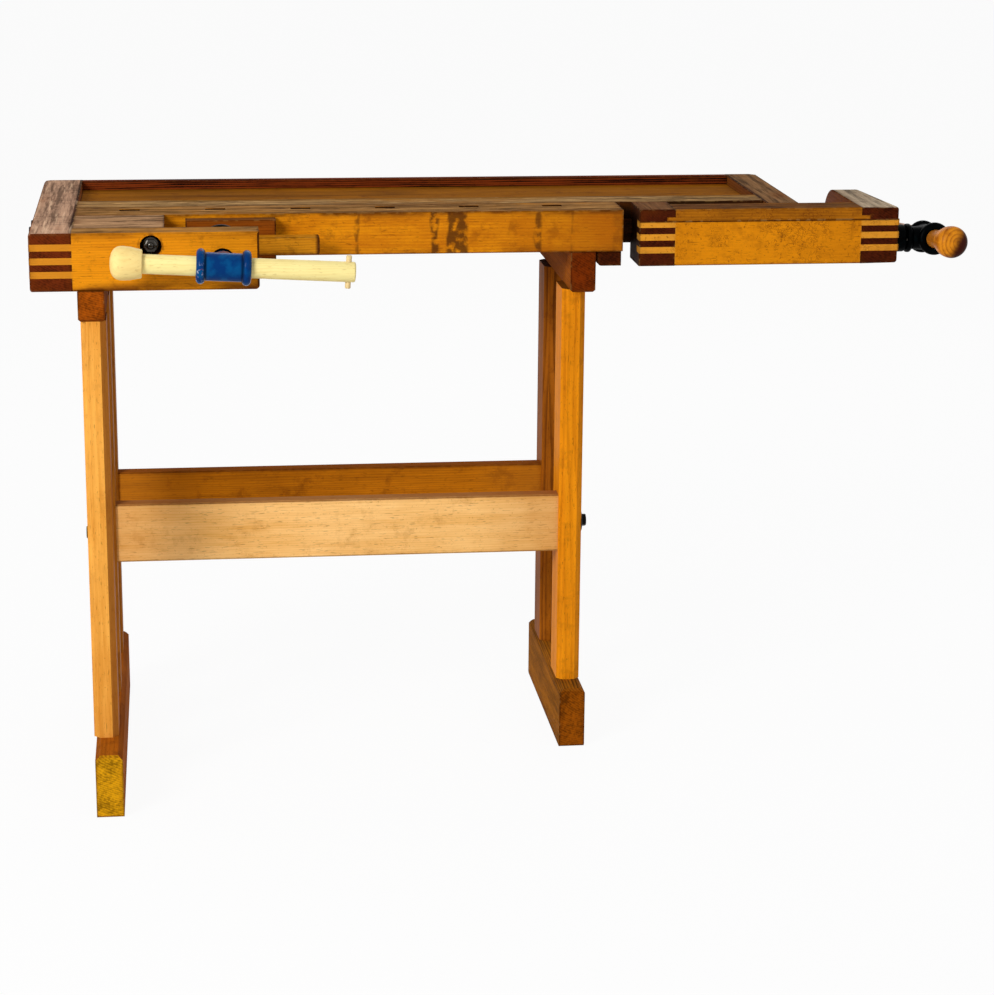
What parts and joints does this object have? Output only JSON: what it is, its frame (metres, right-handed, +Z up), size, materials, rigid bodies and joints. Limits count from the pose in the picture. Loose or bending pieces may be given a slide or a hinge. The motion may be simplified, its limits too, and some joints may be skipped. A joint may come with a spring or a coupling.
{
  "type": "woodworking bench",
  "caption": "Joiner's bench with a front shoulder vise, an L-shaped tail vise, a row of dog holes and a rear tool tray, on sled-footed trestles.",
  "frame": {"origin": "on the floor, under the middle of the bench's overall box", "axes": "+X to the right along the bench, +Y from the front to the tool tray, +Z up"},
  "size_m": [1.3975, 0.613, 0.85],
  "materials": {
    "waxed_beech": "waxed, worn on top",
    "dark_beech": "oiled, dark end grain",
    "stained_board": "dark stained",
    "tray_board": "waxed, worn",
    "pale_beech": "waxed",
    "red_beech": "waxed, end grain in front",
    "foot_beech": "waxed",
    "inner_hardwood": "plain",
    "turned_beech": "turned, bare",
    "pin_wood": "bare",
    "blue_painted_iron": "gloss enamel on cast iron",
    "black_painted_iron": "black enamel on cast iron",
    "screw_steel": "oiled steel",
    "black_bolt_steel": "black oxide",
    "zinc_steel": "zinc plated"
  },
  "bodies": {
    "bench": {"dog_strip": "waxed_beech", "core_strip": "waxed_beech", "tray_floor": "tray_board", "back_board": "stained_board", "left_end_cap": "dark_beech", "right_end_cap": "dark_beech", "cap_bolts": "black_bolt_steel", "shoulder_arm": "waxed_beech", "spacer_block": "dark_beech", "arm_bolt": "zinc_steel", "arm_bolt_washer": "zinc_steel", "arm_bolt_nuts": "zinc_steel", "shoulder_nut": "black_painted_iron", "guide_keeper": "inner_hardwood", "slide_runner": "inner_hardwood", "fixed_jaw_block": "dark_beech", "tail_nut": "black_painted_iron", "left_front_leg": "pale_beech", "left_middle_leg": "pale_beech", "left_rear_leg": "pale_beech", "right_front_leg": "pale_beech", "right_rear_leg": "pale_beech", "left_top_rail": "red_beech", "right_top_rail": "red_beech", "left_foot": "foot_beech", "right_foot": "foot_beech", "front_stretcher": "pale_beech", "rear_stretcher": "pale_beech", "stretcher_bolts": "black_bolt_steel", "stretcher_washers": "black_bolt_steel", "stretcher_barrel_nuts": "zinc_steel", "top_dowels": "inner_hardwood", "wood_screws": "zinc_steel"},
    "shoulder_jaw_set": {"shoulder_jaw": "waxed_beech", "jaw_guide_bar": "inner_hardwood", "swivel_plate": "black_painted_iron", "plate_screws": "zinc_steel"},
    "shoulder_screw_set": {"shoulder_screw": "screw_steel", "shoulder_hub": "blue_painted_iron"},
    "shoulder_handle_set": {"shoulder_handle": "turned_beech", "shoulder_knob": "turned_beech", "shoulder_handle_pin": "pin_wood"},
    "tail_vise": {"tail_jaw_block": "dark_beech", "tail_front_board": "waxed_beech", "tail_top_cover": "waxed_beech", "tail_end_block": "dark_beech", "tail_guide_bar": "inner_hardwood", "tail_thrust_collar": "black_painted_iron", "collar_screws": "zinc_steel"},
    "tail_screw_set": {"tail_screw": "screw_steel", "tail_hub": "black_painted_iron", "tail_screw_ring": "black_painted_iron"},
    "tail_handle_set": {"tail_handle": "turned_beech", "tail_knob": "turned_beech", "tail_handle_pin": "pin_wood"}
  },
  "joints": [
    {"name": "shoulder_jaw_slide", "type": "slide", "parent": "bench", "child": "shoulder_jaw_set", "axis": [0, -1, 0], "range_m": [-0.0007, 0.0511]},
    {"name": "shoulder_screw_turn", "type": "hinge", "parent": "shoulder_jaw_set", "child": "shoulder_screw_set", "pos_m": [-0.41725, -0.2215, 0.81], "axis": [0, -1, 0], "range_deg": [-50, 3672]},
    {"name": "shoulder_handle_slide", "type": "slide", "parent": "shoulder_screw_set", "child": "shoulder_handle_set", "axis": [0.9986, 0, -0.0523], "range_m": [-0.13, 0.074]},
    {"name": "tail_vise_slide", "type": "slide", "parent": "bench", "child": "tail_vise", "axis": [1, 0, 0], "range_m": [-0.0244, 0.1201]},
    {"name": "tail_screw_turn", "type": "hinge", "parent": "tail_vise", "child": "tail_screw_set", "pos_m": [0.65075, -0.0165, 0.795], "axis": [1, 0, 0], "range_deg": [-1755, 8640]},
    {"name": "tail_handle_slide", "type": "slide", "parent": "tail_screw_set", "child": "tail_handle_set", "axis": [0, 0.9942, -0.108], "range_m": [-0.15, 0.056]}
  ],
  "couplings": [
    {"joint": "shoulder_jaw_slide", "follows": "shoulder_screw_turn", "m_per_rad": 0.00079577},
    {"joint": "tail_vise_slide", "follows": "tail_screw_turn", "m_per_rad": 0.00079577}
  ]
}
